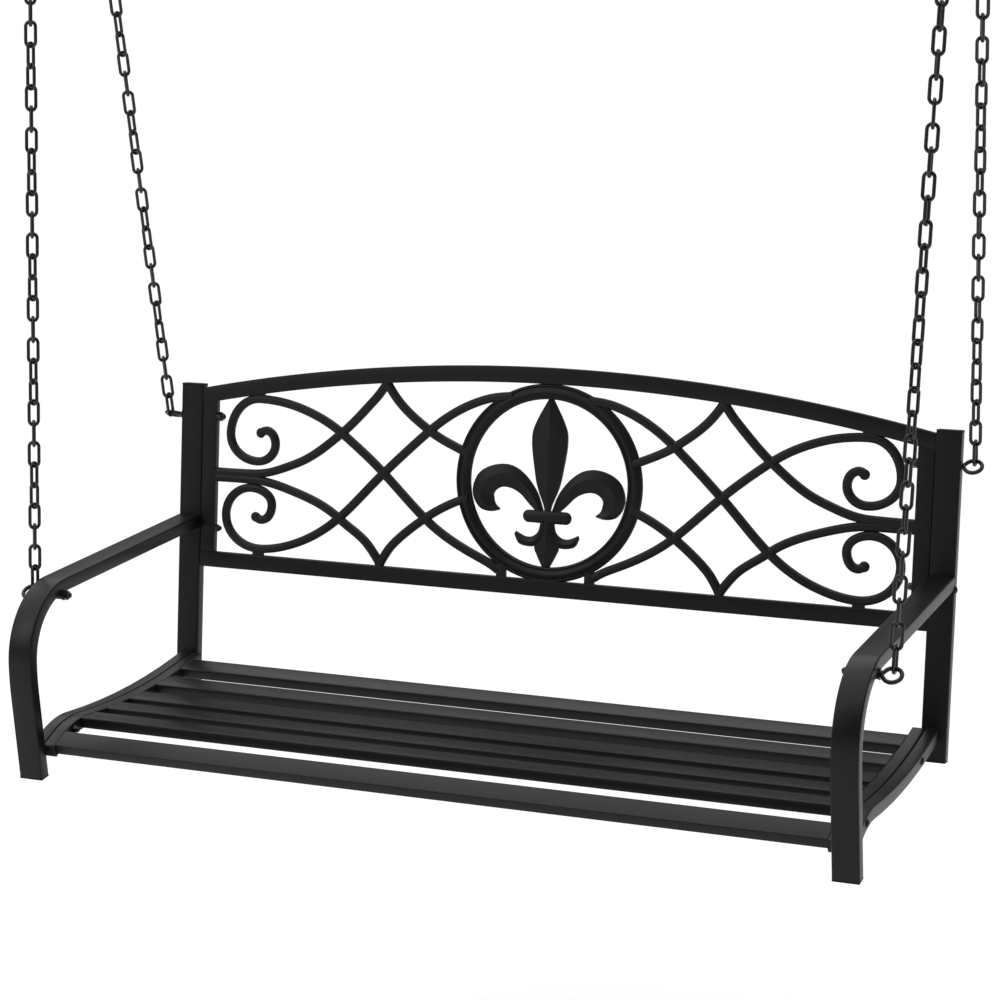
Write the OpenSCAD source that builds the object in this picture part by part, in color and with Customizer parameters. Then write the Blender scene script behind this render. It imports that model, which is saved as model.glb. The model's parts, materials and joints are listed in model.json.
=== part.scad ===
// Hanging steel porch swing: two bent side frames, a slatted seat, a cast scroll back
// and four chains that meet in pairs under two ceiling hangers.
// X runs across the seat, Y from the front to the back, Z up.
// The origin lies on the ceiling, midway between the two hangers.

/* [Overall] */
// Width over the two side frames
overall_w = 1270; // [1000:5:1600]
// Front of the feet to the front of the posts, at floor height
frame_depth = 466; // [380:2:560]
// Distance between the two ceiling hangers
hanger_span = 1384; // [1100:2:1800]
// Distance of the hanging line behind the front of the feet
hang_y = 228; // [150:1:350]
// Height of the hanging line above the feet, to the middle of the gathering rings
hang_z = 2055; // [1500:5:2600]
// Backward lean of the hung seat, which brings its weight under the hangers, in degrees
hang_lean = 2.52; // [0:0.01:6]

/* [Side frames] */
// Width of the arm and post tubes, seen from the front
tube_w = 38; // [25:1:60]
// Thickness of the bent arm tube
arm_t = 20; // [14:1:30]
// Depth of the rear post tube
post_t = 18; // [14:1:30]
// Wall of every steel tube
wall = 1.5; // [1:0.1:3]
// Lean of the front leg below its bulge, in degrees
leg_lean = 8; // [2:0.5:12]
// Straight length of the front leg
leg_len = 131; // [90:1:200]
// Outer radius of the soft curve above the leg
bulge_r = 350; // [200:5:600]
// Outer radius of the arm bend
arm_bend_r = 110; // [70:1:160]
// Rise of the arm towards the post, in degrees
arm_rise = 3; // [0:0.5:8]
// Lean of the rear posts, in degrees
post_lean = 5; // [0:0.5:12]
// Height of the post tube's lower end above the feet
post_low = 40; // [10:1:80]
// Rise of the post tube above the back panel's upper corner
post_rise = 3; // [0:0.5:30]
// Thickness of the visible lip of a tube plug
plug_lip = 3; // [1:0.5:6]
// How far a plug reaches into its tube
plug_depth = 12; // [6:1:20]

/* [Seat] */
// Square tube of the seat rails and side bars
rail_t = 19; // [15:1:28]
// Gap between a side frame's rail and the seat's side bar
rail_gap = 1; // [0.5:0.1:3]
// Distance of the outer rail face inside the side frame's outer face
rail_inset = 11; // [4:0.5:16]
// Width of a seat slat
slat_w = 43; // [30:1:60]
// Width of the front slat on the rolled edge
front_slat_w = 36; // [28:1:50]
// Thickness of a slat
slat_t = 16; // [10:1:19]
// Downward slope of the front edge of the seat, in degrees
roll_slope = 23; // [10:1:35]
// Radius of the rolled front edge
roll_r = 140; // [80:5:200]
// Radius of the hollow of the seat
seat_r = 1450; // [900:10:2500]
// Space between the seat's rear end and the posts
seat_back_gap = 6; // [2:1:20]

/* [Back panel] */
// Face width of the back panel's frame bars
frame_w = 25; // [18:1:40]
// Depth of the back panel's frame bars
frame_d = 12; // [8:0.5:16]
// Recess of the back panel behind the front of the posts
panel_recess = 1; // [0:0.5:4]
// Drop of the medallion below the middle of the panel
cast_drop = 1.2; // [0:0.1:1.8]
// Gap between the back panel and a post
panel_gap = 0.5; // [0.2:0.1:2]
// Lower edge of the back panel, measured up the post from floor height
panel_low = 228; // [150:1:300]
// Clear height of the panel opening at its middle
open_h = 301; // [220:1:380]
// Rise of the arched top rail over the panel opening
arch_rise = 58; // [20:1:90]
// Thickness of the cast scrollwork
cast_t = 9; // [6:0.5:12]
// Width of a scroll bar
bar_w = 13.5; // [8:0.5:18]
// Width of the medallion ring
ring_w = 24; // [14:1:34]

/* [Fasteners] */
// Shank diameter of the eye bolts
eye_d = 8; // [6:0.5:10]
// Wire diameter of the eye
eye_wire = 6; // [5:0.5:8]
// Inner radius of the eye
eye_r = 9.5; // [8:0.5:14]
// Distance of the eye's centre outside the side frame
eye_reach = 17; // [14:0.5:26]
// Tilt of the eyes, rear side up, in degrees
eye_tilt = 34; // [0:1:60]
// Tilt of the rear left eye, front side up, in degrees
turned_tilt = 22; // [0:1:60]
// Shank diameter of the smaller bolts
bolt_d = 6; // [4:0.5:8]
// Clearance of a bolt in its hole, on the radius
hole_clear = 0.3; // [0.1:0.1:1]

/* [Chains] */
// Inner length of a link, which is the pitch of the chain
link_pitch = 31; // [24:0.5:40]
// Outer width of a link
link_w = 19.5; // [15:0.5:26]
// Wire diameter of a link
link_wire = 5; // [3:0.25:7]
// Slack where two rings touch
link_slack = 0.35; // [0.3:0.05:1]

/* [Ceiling hangers] */
// Mean radius of the ring that gathers two chains
gather_r = 50; // [40:1:70]
// Wire diameter of the gathering ring
gather_wire = 8; // [6:0.5:12]
// Mean radius of the hanger's closed hook
hook_r = 14; // [12:1:22]
// Straight part of the hook's bottom, which carries the ring
hook_flat = 8; // [4:1:16]
// Wire diameter of the hook
hook_wire = 9; // [7:0.5:12]
// Length of the ceiling plate
plate_l = 96; // [80:1:140]
// Width of the ceiling plate
plate_w = 50; // [40:1:90]
// Thickness of the ceiling plate
plate_t = 6; // [4:0.5:10]
// Screw spacing along the ceiling plate
screw_x = 72; // [56:1:110]
// Screw spacing across the ceiling plate
screw_y = 30; // [20:1:60]
// Diameter of the screw holes
screw_d = 7; // [5:0.5:10]

/* [Hidden] */
$fn = 48;
fine = 720;
black = "#1b1b1d";
plastic = "#121213";
half_w = overall_w / 2;
post_in = half_w - tube_w;
big = 3000;

// Points along a bent side path, a given depth below its upper face.
flatness = 0.05;
function left_of(h) = [-sin(h), cos(h)];
function arc_count(r, a) = ceil(abs(a) * PI / 180 * r / sqrt(8 * flatness * r));
function arc_centre(r, a, p, h) = p - sign(a) * r * left_of(h);
function step_points(r, a, p, h, depth) = a == 0
    ? [p - depth * left_of(h)]
    : let (n = arc_count(r, a))
        [for (k = [0 : n - 1])
            arc_centre(r, a, p, h) + (sign(a) * r - depth) * left_of(h - a * k / n)];
function step_end(r, a, p, h) = a == 0
    ? p + r * [cos(h), sin(h)]
    : arc_centre(r, a, p, h) + sign(a) * r * left_of(h - a);
function path_points(steps, depth, p = [0, 0], h = 0, i = 0) = i == len(steps)
    ? [p - depth * left_of(h)]
    : concat(
        step_points(steps[i][0], steps[i][1], p, h, depth),
        path_points(steps, depth, step_end(steps[i][0], steps[i][1], p, h),
            h - steps[i][1], i + 1));
function reversed(pts) = [for (i = [len(pts) - 1 : -1 : 0]) pts[i]];
function bent_outline(steps, top, bottom) =
    concat(path_points(steps, top), reversed(path_points(steps, bottom)));

// Side path: each step is [length, 0] or [radius of the upper face, turn], clockwise positive.
arm_turn = 90 - arm_rise;
arm_run = frame_depth + 100;
arm_steps = [[leg_len - plug_lip, 0], [bulge_r, leg_lean], [arm_bend_r, arm_turn], [arm_run, 0]];
arm_bend_y = -leg_len * sin(leg_lean) - bulge_r * (1 - cos(leg_lean));
arm_bend_z = leg_len * cos(leg_lean) + bulge_r * sin(leg_lean);
bend_cy = arm_bend_y + arm_bend_r;
leg_start = plug_lip * [-sin(leg_lean), cos(leg_lean)];

// Seat curve, given by the hollow's lowest point and the tangent point of the rolled edge.
hollow_y = frame_depth / 2 + 2;
hollow_z = 69;
crest_y = 115;
crest_a = asin((hollow_y - crest_y) / seat_r);
crest_z = hollow_z + seat_r * (1 - cos(crest_a));
roll_cy = crest_y - roll_r * sin(crest_a);
roll_cz = crest_z - roll_r * cos(crest_a);
nose_y = roll_cy - roll_r * sin(roll_slope);
nose_z = roll_cz + roll_r * cos(roll_slope);
nose_len = nose_y / cos(roll_slope) + 12;
seat_rear = frame_depth + 7 - seat_back_gap;
rear_a = asin((frame_depth + 60 - hollow_y) / seat_r);
seat_steps = [[nose_len, 0], [roll_r, roll_slope + crest_a], [seat_r, -crest_a - rear_a]];
side_bar_front = 18;
rail_out = half_w - rail_inset;
bar_out = rail_out - rail_t - rail_gap;
bar_in = bar_out - rail_t;
function seat_z(y) =
    y < nose_y ? nose_z - (nose_y - y) * tan(roll_slope)
    : y < crest_y ? roll_cz + sqrt(pow(roll_r, 2) - pow(y - roll_cy, 2))
    : hollow_z + seat_r - sqrt(pow(seat_r, 2) - pow(y - hollow_y, 2));
function seat_slope(y) =
    y < nose_y ? roll_slope
    : y < crest_y ? -asin((y - roll_cy) / roll_r)
    : asin((y - hollow_y) / seat_r);

// Clear gaps in front of each slat, from the front slat back.
slat_gaps = [32, 25, 39, 37];
first_slat_y = 94;
slat_run = 372;
slat_scale = (frame_depth - first_slat_y) / slat_run;
slat_pitch = [for (g = slat_gaps) (slat_w + g) * slat_scale];
slat_front = [
    first_slat_y,
    first_slat_y + slat_pitch[0],
    first_slat_y + slat_pitch[0] + slat_pitch[1],
    first_slat_y + slat_pitch[0] + slat_pitch[1] + slat_pitch[2],
    first_slat_y + slat_pitch[0] + slat_pitch[1] + slat_pitch[2] + slat_pitch[3]
];

// Back panel, drawn in its own plane: X across, Y up the posts, Z towards the front.
panel_w = 2 * (post_in - panel_gap);
open_half = panel_w / 2 - frame_w;
half_h = open_h / 2;
ring_y = panel_low + frame_w + half_h - cast_drop;
arch_in = (pow(open_half, 2) + pow(arch_rise, 2)) / (2 * arch_rise);
arch_y = panel_low + frame_w + open_h - arch_in;
ring_out = half_h + 2;
ring_in = ring_out - ring_w;
panel_corner = arch_y + sqrt(pow(arch_in + frame_w, 2) - pow(panel_w / 2, 2));
post_len = panel_corner + post_rise - post_low;
bolt_depth = panel_recess + frame_d / 2;
bar_half = bar_w / 2;

// Scroll bars, each a run of [x, y, heading] drawn for a 422 by 301 opening half.
pattern_w = 422;
pattern_h = 301;
pattern_ring = 150.5;
pattern_arch = 5710;
upper_scroll = [
    [76, -140, 38], [122, -117, 24], [203, -69, 40], [276, -3, 42], [349, 54, 36],
    [430, 92, 16], [498, 101, 0], [549, 43, -90], [500, 1, -180], [468, 32, -275],
    [483, 51, -350], [494, 47, -400]
];
lower_scroll = [
    [60, 130, -6], [100, 124, -16], [198, 69, -41], [276, -3, -44], [353, -80, -41],
    [430, -126, -20], [494, -139, 0], [554.5, -87, 90], [509, -42, 180], [472, -70, 275],
    [488, -92, 350], [500, -88, 400]
];
upper_branch = [
    [130, 36, 24], [200, 69, 34], [252, 110, 47], [276, 142, 58]
];
upper_stem = [
    [272, 142, -58], [296, 110, -47], [350, 56, -40], [430, 2, -22], [505, -19, -2],
    [580, -20, 0]
];
lower_branch = [
    [130, -31, -20], [203, -69, -36], [256, -113, -46], [281, -150, -58]
];
lower_stem = [
    [276, -150, 58], [300, -118, 48], [352, -80, 38], [430, -44, 17], [505, -29, 1],
    [580, -29, 0]
];

function arch_drop(x) = arch_in - sqrt(pow(arch_in, 2) - pow(x, 2));
function fit_x(x) = ring_out + (x - pattern_ring) * (open_half - ring_out) / pattern_w;
function fit_y(x, y) = y > 0
    ? y * (half_h - arch_drop(fit_x(x))) / (pattern_h / 2 - pow(x, 2) / pattern_arch)
    : y * open_h / pattern_h;
function fitted(run) = [for (p = run) [fit_x(p[0]), fit_y(p[0], p[1]), p[2]]];

function mix(a, b, t) = a * (1 - t) + b * t;
function curve(a, b, c, d, t) =
    mix(mix(mix(a, b, t), mix(b, c, t), t), mix(mix(b, c, t), mix(c, d, t), t), t);
function dir(a) = [cos(a), sin(a)];
function flat(p) = [p[0], p[1]];
function reach(p, q) = norm(flat(q) - flat(p)) / (3 * pow(cos((q[2] - p[2]) / 4), 2));
function between(p, q, t) = curve(
    flat(p), flat(p) + reach(p, q) * dir(p[2]), flat(q) - reach(p, q) * dir(q[2]), flat(q), t);
function run_points(run, n) = concat(
    [for (i = [0 : len(run) - 2]) for (k = [0 : n - 1]) between(run[i], run[i + 1], k / n)],
    [flat(run[len(run) - 1])]);
function tidy(pts) = [for (i = [0 : len(pts) - 1])
    if (norm(pts[i] - pts[(i + 1) % len(pts)]) > 0.05) pts[i]];
function side_of(pts, i) =
    let (a = pts[max(i - 1, 0)], b = pts[min(i + 1, len(pts) - 1)], d = b - a)
    [-d[1], d[0]] / norm(d);
function band(pts, half) = concat(
    [for (i = [0 : len(pts) - 1]) pts[i] + half * side_of(pts, i)],
    [for (i = [len(pts) - 1 : -1 : 0]) pts[i] - half * side_of(pts, i)]);

// Lily ornament, right half, drawn for a medallion 128.5 in inner radius.
lily_r = 128.5;
lily_scale = ring_in / lily_r;
petal_run = [[0, 130, -48], [29, 68, -90], [18, 2, -106], [0, -62, -106]];
side_run = [
    [-2, -62, 72], [10, -36, 64], [45, 15, 40], [75, 25, 0], [112, 12, -42],
    [128, -14, -95], [104, -50, -178], [77, -46, -205]
];
side_inner_run = [[77, -46, 35], [90, -25, 95], [70, -10.5, 180], [43, -20, 216], [14, -62, 245]];
curl_run = [[12, -56, -95], [14, -68, -72], [33, -84, -5], [51, -77, 35]];
curl_outer_run = [[51, -77, -70], [50, -91, -125], [28, -99, -180], [21, -99, -190]];
tail_run = [[21, -99, -112], [7, -131, -112], [-3, -131, -180]];

// Bolts through the posts and the seat rails.
rear_eye_z = panel_low + frame_w + open_h - arch_rise - 25;
back_bolt_at = panel_low + frame_w + 38;
front_eye_y = bend_cy - 14;
bushing_d = eye_d + 6;
arm_under_z = arm_bend_z + arm_bend_r - arm_t;
front_eye_z = arm_under_z - bushing_d / 2 + 3;
eye_mean = eye_r + eye_wire / 2;
eye_x = half_w + eye_reach;
seat_bolt_y = [72, frame_depth - 94];
nut_flat = 13;
nut_h = 6;
dome_r = 5;
small_flat = 10;
small_h = 5;
small_dome = 4.2;
washer_t = 1.4;

// Where each chain starts. Its link hangs on the raised side of the eye.
function hang_point(centre, tilt) =
    centre + [0, sign(tilt) * eye_mean * cos(tilt), eye_mean * sin(abs(tilt))];
function post_point(at, out) = [
    half_w + out,
    frame_depth + at * sin(post_lean) + bolt_depth * cos(post_lean),
    at * cos(post_lean) - bolt_depth * sin(post_lean)];
front_hang = hang_point([eye_x, front_eye_y, front_eye_z], eye_tilt);
rear_hang = hang_point(post_point(rear_eye_z, eye_reach), eye_tilt);
turned_hang = hang_point(post_point(rear_eye_z, eye_reach), -turned_tilt);

// Links of a chain, spread evenly between its eye and the ring it meets the other chain in.
// A chain's line crosses the ring's plane at the ring's wire.
aim = [hanger_span / 2, hang_y, hang_z];
link_mean = (link_w - link_wire) / 2;
link_straight = link_pitch + link_wire - 2 * link_mean;
link_half = link_straight / 2 + link_mean;
first_gap = link_half - (eye_wire + link_wire) / 2 - link_slack;
last_gap = link_half - (gather_wire + link_wire) / 2 - link_slack;
function way(start) =
    let (d = aim - start) d + [d[0] * gather_r / (norm(d) - gather_r), 0, 0];
function link_run(start) = norm(way(start)) - gather_r - first_gap - last_gap;
function link_count(start) = round(link_run(start) / (link_pitch - link_slack)) + 1;

// Heights of the hangers, counted down from the ceiling.
plate_low = -plate_t;
hook_z = plate_low - hook_r - hook_wire / 2;
hook_low = hook_z - hook_r;
ring_z = hook_low + (gather_wire + hook_wire) / 2 + link_slack - gather_r;

// ---- placing ----
module hung() {
    translate([0, 0, ring_z])
        rotate([-hang_lean, 0, 0])
            translate([0, -aim[1], -aim[2]]) children();
}

module on_side(s) {
    if (s < 0) mirror([1, 0, 0]) children();
    else children();
}

module both() {
    for (s = [-1, 1]) on_side(s) children();
}

// Side view drawing plane: its X is depth, its Y is height, its Z is width.
module side_view(x) {
    translate([x, 0, 0]) rotate([90, 0, 90]) children();
}

// Back panel plane: its Y climbs the posts, its Z faces the front.
module post_plane() {
    translate([0, frame_depth, 0]) rotate([90 - post_lean, 0, 0]) children();
}

// ---- tube ----
module section(t, w) {
    difference() {
        square([t, w]);
        translate([wall, wall]) square([t - 2 * wall, w - 2 * wall]);
    }
}

module straight_tube(l, t, w) {
    translate([0, -t, 0])
        rotate([90, 0, 90])
            linear_extrude(l) section(t, w);
}

module bent_tube(steps, t, w) {
    difference() {
        linear_extrude(w) polygon(bent_outline(steps, 0, t));
        translate([0, 0, wall])
            linear_extrude(w - 2 * wall) polygon(bent_outline(steps, wall, t - wall));
    }
}

// Side view region in front of the posts.
module before_posts() {
    translate([frame_depth, 0, -1])
        rotate([0, 0, -post_lean])
            translate([-big, -big / 2, 0]) cube([big, big, tube_w + 2]);
}

// Side view region behind the front legs.
module behind_legs() {
    rotate([0, 0, leg_lean])
        translate([arm_t, -big / 2, -1]) cube([big, big, tube_w + 2]);
}

// ---- side frames ----
module arm(s) {
    hung() on_side(s) side_view(post_in)
        difference() {
            intersection() {
                translate([leg_start[0], leg_start[1], 0])
                    rotate([0, 0, 90 + leg_lean]) bent_tube(arm_steps, arm_t, tube_w);
                before_posts();
            }
            translate([front_eye_y, front_eye_z, -1]) cylinder(h = tube_w + 2, d = bushing_d);
        }
}

module post_hole(at, d) {
    translate([bolt_depth, at, -1]) cylinder(h = tube_w + 2, d = d + 2 * hole_clear);
}

module post(s) {
    hung() on_side(s) side_view(post_in)
        translate([frame_depth, 0, 0])
            rotate([0, 0, -post_lean])
                difference() {
                    translate([0, post_low, 0]) cube([post_t, post_len, tube_w]);
                    translate([wall, post_low - 1, wall])
                        cube([post_t - 2 * wall, post_len + 2, tube_w - 2 * wall]);
                    post_hole(rear_eye_z, eye_d);
                    post_hole(back_bolt_at, bolt_d);
                }
}

module seat_path() {
    translate([nose_y, nose_z, 0])
        rotate([0, 0, roll_slope])
            translate([-nose_len, 0, 0]) bent_tube(seat_steps, rail_t, rail_t);
}

module rail_holes() {
    for (y = seat_bolt_y)
        translate([y, seat_z(y) - rail_t / 2, -1])
            cylinder(h = rail_t + 2, d = bolt_d + 2 * hole_clear);
}

module seat_rail(s) {
    hung() on_side(s) side_view(rail_out - rail_t)
        difference() {
            intersection() {
                seat_path();
                before_posts();
                behind_legs();
            }
            rail_holes();
        }
}

// ---- seat ----
module side_bar_region() {
    translate([side_bar_front, seat_z(side_bar_front), -1])
        rotate([0, 0, roll_slope])
            translate([0, -big / 2, 0]) cube([big, big, rail_t + 2]);
}

module side_bar(s) {
    hung() on_side(s) side_view(bar_in)
        difference() {
            intersection() {
                seat_path();
                side_bar_region();
                translate([-big / 2, -big / 2, -1]) cube([big / 2 + seat_rear, big, rail_t + 2]);
            }
            rail_holes();
        }
}

module slat(y, w) {
    slope = seat_slope(y + w / 2 * cos(seat_slope(y)));
    hung()
        translate([-bar_in, 0, 0]) rotate([90, 0, 90])
            translate([y, seat_z(y), 0])
                rotate([0, 0, slope])
                    translate([0, -slat_t, 0])
                        difference() {
                            cube([w, slat_t, 2 * bar_in]);
                            translate([wall, wall, -1])
                                cube([w - 2 * wall, slat_t - 2 * wall, 2 * bar_in + 2]);
                        }
}

// ---- back panel ----
module frame_depth_slot(t) {
    translate([0, 0, -panel_recess - t]) children();
}

module top_rail() {
    half_a = asin((panel_w / 2 + 20) / arch_in);
    hung() post_plane() frame_depth_slot(frame_d)
        intersection() {
            translate([0, arch_y, 0])
                rotate([0, 0, 90 - half_a])
                    rotate_extrude(angle = 2 * half_a, $fn = 4 * fine)
                        translate([arch_in, 0]) section(frame_w, frame_d);
            translate([-panel_w / 2, 0, -1]) cube([panel_w, big, frame_d + 2]);
        }
}

module bottom_rail() {
    hung() post_plane() frame_depth_slot(frame_d)
        translate([-panel_w / 2, panel_low + frame_w, 0])
            straight_tube(panel_w, frame_w, frame_d);
}

module stile(s) {
    hung() post_plane() frame_depth_slot(frame_d)
        on_side(s)
            difference() {
                translate([open_half, panel_low + frame_w, 0])
                    rotate([0, 0, 90]) straight_tube(open_h, frame_w, frame_d);
                translate([0, arch_y, -1]) difference() {
                    cylinder(h = frame_d + 2, r = arch_in + 200, $fn = 4 * fine);
                    translate([0, 0, -1]) cylinder(h = frame_d + 4, r = arch_in, $fn = 4 * fine);
                }
                for (p = [[rear_eye_z, eye_d], [back_bolt_at, bolt_d]])
                    translate([open_half - 1, p[0], frame_d / 2])
                        rotate([0, 90, 0])
                            cylinder(h = frame_w + 2, d = p[1] + 2 * hole_clear);
            }
}

// Space inside the back panel's frame, as a solid.
module opening_space(t) {
    intersection() {
        translate([0, arch_y, 0]) cylinder(h = t, r = arch_in, $fn = 4 * fine);
        translate([-open_half, panel_low + frame_w, 0]) cube([2 * open_half, big, t]);
    }
}

module medallion_ring() {
    hung() post_plane() frame_depth_slot(cast_t)
        intersection() {
            translate([0, ring_y, 0])
                rotate_extrude($fn = fine / 4)
                    translate([ring_in, 0])
                        polygon([
                            [0, 0], [ring_w, 0], [ring_w, cast_t - 2.5], [ring_w - 3, cast_t - 1],
                            [ring_w - 7, cast_t - 2.5], [ring_w - 10, cast_t],
                            [ring_w - 14, cast_t], [7, cast_t - 2.5], [3, cast_t - 1],
                            [0, cast_t - 2.5]
                        ]);
            translate([0, 0, -1]) opening_space(cast_t + 2);
        }
}

module blade(run, n) {
    pts = run_points(run, n);
    polygon(tidy(concat(pts, [for (i = [len(pts) - 1 : -1 : 0]) [-pts[i][0], pts[i][1]]])));
}

module side_petal() {
    polygon(tidy(concat(run_points(side_run, 6), run_points(side_inner_run, 6))));
}

module tail_half() {
    polygon(tidy(concat(
        [[-3, -56]], run_points(curl_run, 5), run_points(curl_outer_run, 4),
        run_points(tail_run, 2))));
}

module lily_ornament() {
    band_half = 31;
    band_r = 10;
    hung() post_plane() frame_depth_slot(cast_t)
        intersection() {
            translate([0, ring_y, 0]) scale(lily_scale) union() {
                linear_extrude(cast_t - 1) {
                    blade(petal_run, 6);
                    side_petal();
                    mirror([1, 0]) side_petal();
                    tail_half();
                    mirror([1, 0]) tail_half();
                }
                for (x = [-band_half, band_half])
                    translate([x, -52, 0]) cylinder(h = cast_t, r = band_r);
                translate([-band_half, -52 - band_r, 0])
                    cube([2 * band_half, 2 * band_r, cast_t]);
            }
            translate([0, ring_y, -1]) cylinder(h = cast_t + 2, r = ring_in, $fn = fine / 4);
        }
}

module bar(run, n) {
    linear_extrude(cast_t - 1) polygon(band(run_points(fitted(run), n), bar_half));
}

module tab(x, y, w, h) {
    translate([fit_x(x) - w / 2, fit_y(x, y), 0]) cube([w, h, cast_t - 2]);
}

module bulb(run) {
    p = fitted(run)[len(run) - 1];
    translate([p[0], p[1], 0]) cylinder(h = cast_t - 1, r = bar_half + 0.8);
}

module scrollwork(s) {
    hung() post_plane() frame_depth_slot(cast_t)
        on_side(s)
            difference() {
                intersection() {
                    translate([0, ring_y, 0]) union() {
                        bar(upper_scroll, 5);
                        bar(lower_scroll, 5);
                        bar(upper_branch, 4);
                        bar(upper_stem, 4);
                        bar(lower_branch, 4);
                        bar(lower_stem, 4);
                        bulb(upper_scroll);
                        bulb(lower_scroll);
                        tab(498, 100, 19, 20);
                        tab(494, -160, 19, 24);
                        tab(70, -160, 16, 36);
                    }
                    opening_space(cast_t);
                }
                translate([0, ring_y, -1])
                    cylinder(h = cast_t + 2, r = ring_out, $fn = fine / 4);
            }
}

// ---- plugs ----
module plug(t, w, grip) {
    cube([t, plug_lip, w]);
    translate([grip, plug_lip - 0.1, grip])
        cube([t - 2 * grip, plug_depth, w - 2 * grip]);
}

module post_caps() {
    hung() both() side_view(post_in)
        translate([frame_depth, 0, 0])
            rotate([0, 0, -post_lean])
                translate([0, post_low + post_len + plug_lip, 0])
                    mirror([0, 1, 0]) plug(post_t, tube_w, wall);
}

module post_plugs() {
    hung() both() side_view(post_in)
        translate([frame_depth, 0, 0])
            rotate([0, 0, -post_lean])
                translate([0, post_low - plug_lip, 0]) plug(post_t, tube_w, wall);
}

module foot_plugs() {
    hung() both() side_view(post_in)
        rotate([0, 0, leg_lean]) plug(arm_t, tube_w, wall);
}

module side_bar_plugs() {
    hung() both() side_view(bar_in)
        translate([side_bar_front, seat_z(side_bar_front), 0])
            rotate([0, 0, roll_slope - 90])
                translate([0, -plug_lip, 0]) plug(rail_t, rail_t, wall);
}

// ---- fasteners ----
module across(x0, x1, d) {
    translate([x0, 0, 0]) rotate([0, 90, 0]) cylinder(h = x1 - x0, d = d);
}

module at_post(at) {
    p = post_point(at, 0);
    translate([0, p[1], p[2]]) children();
}

module at_front_eye() {
    translate([0, front_eye_y, front_eye_z]) children();
}

module cap_nut(x, flat_w, h, dome) {
    mirror([1, 0, 0]) translate([-x, 0, 0]) rotate([0, 90, 0]) {
        cylinder(h = h, d = flat_w / cos(30), $fn = 6);
        translate([0, 0, h - 0.2]) cylinder(h = 1.4, r = dome);
        translate([0, 0, h + 1]) intersection() {
            sphere(r = dome);
            translate([-dome, -dome, 0]) cube([2 * dome, 2 * dome, dome]);
        }
    }
}

module washer(x, d_in, d_out) {
    difference() {
        across(x, x + washer_t, d_out);
        across(x - 1, x + washer_t + 1, d_in + 2 * hole_clear);
    }
}

module front_bushings() {
    hung() both() at_front_eye()
        difference() {
            across(post_in, half_w, bushing_d);
            across(post_in - 1, half_w + 1, eye_d + 2 * hole_clear);
        }
}

module eye_bolt(inner, tilt) {
    rotate([tilt, 0, 0]) {
        translate([eye_x, 0, 0])
            rotate_extrude($fn = 48) translate([eye_mean, 0]) circle(d = eye_wire, $fn = 24);
        across(half_w + washer_t, eye_x - eye_mean, eye_wire);
    }
    across(inner, half_w + washer_t + 0.5, eye_d);
}

module eye_bolts() {
    front_in = post_in - washer_t - nut_h;
    rear_in = open_half - washer_t - nut_h;
    hung() {
        both() at_front_eye() eye_bolt(front_in, eye_tilt);
        at_post(rear_eye_z) eye_bolt(rear_in, eye_tilt);
        on_side(-1) at_post(rear_eye_z) eye_bolt(rear_in, -turned_tilt);
    }
}

module eye_bolt_washers() {
    hung() both() {
        at_front_eye() washer(half_w, eye_d, 16);
        at_front_eye() washer(post_in - washer_t, eye_d, 16);
        at_post(rear_eye_z) washer(half_w, eye_d, 14);
        at_post(rear_eye_z) washer(open_half - washer_t, eye_d, frame_d);
    }
}

module nut_on(x, shank) {
    difference() {
        cap_nut(x, nut_flat, nut_h, dome_r);
        across(x - nut_h - 0.1, x + 1, shank);
    }
}

module eye_bolt_nuts() {
    hung() both() {
        at_front_eye() nut_on(post_in - washer_t, eye_d);
        at_post(rear_eye_z) nut_on(open_half - washer_t, eye_d);
    }
}

module button_bolt(x_in, x_head) {
    across(x_in, x_head, bolt_d);
    translate([x_head, 0, 0]) rotate([0, 90, 0]) {
        cylinder(h = 1.2, d = 12);
        translate([0, 0, 1.2]) intersection() {
            translate([0, 0, -4.8]) sphere(r = 7.2);
            cylinder(h = 3, d = 11);
        }
    }
}

module small_nut(x) {
    difference() {
        cap_nut(x, small_flat, small_h, small_dome);
        across(x - small_h - 0.1, x + 1, bolt_d);
    }
}

module back_bolts() {
    hung() both() at_post(back_bolt_at) button_bolt(open_half - small_h, half_w);
}

module back_bolt_nuts() {
    hung() both() at_post(back_bolt_at) small_nut(open_half);
}

module at_seat_bolt(y) {
    translate([0, y, seat_z(y) - rail_t / 2]) children();
}

module seat_bolts() {
    hung() both() for (y = seat_bolt_y)
        at_seat_bolt(y) button_bolt(bar_in - small_h, rail_out);
}

module seat_bolt_nuts() {
    hung() both() for (y = seat_bolt_y)
        at_seat_bolt(y) small_nut(bar_in);
}

// ---- chains ----
module link_end() {
    translate([0, 0, link_straight / 2])
        rotate([90, 0, 90])
            rotate_extrude(angle = 180, $fn = 48)
                translate([link_mean, 0]) circle(d = link_wire, $fn = 20);
}

module link() {
    link_end();
    mirror([0, 0, 1]) link_end();
    for (y = [-link_mean, link_mean])
        translate([0, y, -link_straight / 2]) cylinder(h = link_straight, d = link_wire, $fn = 20);
}

// The links turn slowly along a chain, and its last one sits square on the gathering ring.
function end_turn(n, twist) =
    180 * round((twist * (n - 1) - 90 * (n % 2)) / 180) + 90 * (n % 2);
function link_turn(i, n, twist) = i * (90 + twist)
    + (end_turn(n, twist) - twist * (n - 1)) * max(0, (2 * i - n) / (n - 2));

module chain(s, start, twist) {
    d = way(start);
    n = link_count(start);
    step = link_run(start) / (n - 1);
    hung() on_side(s)
        translate(start)
            rotate([-atan2(d[1], d[2]), 0, 0])
                rotate([0, asin(d[0] / norm(d)), 0])
                    for (i = [0 : n - 1])
                        translate([0, 0, first_gap + i * step])
                            rotate([0, 0, link_turn(i, n, s * twist)]) link();
}

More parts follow.
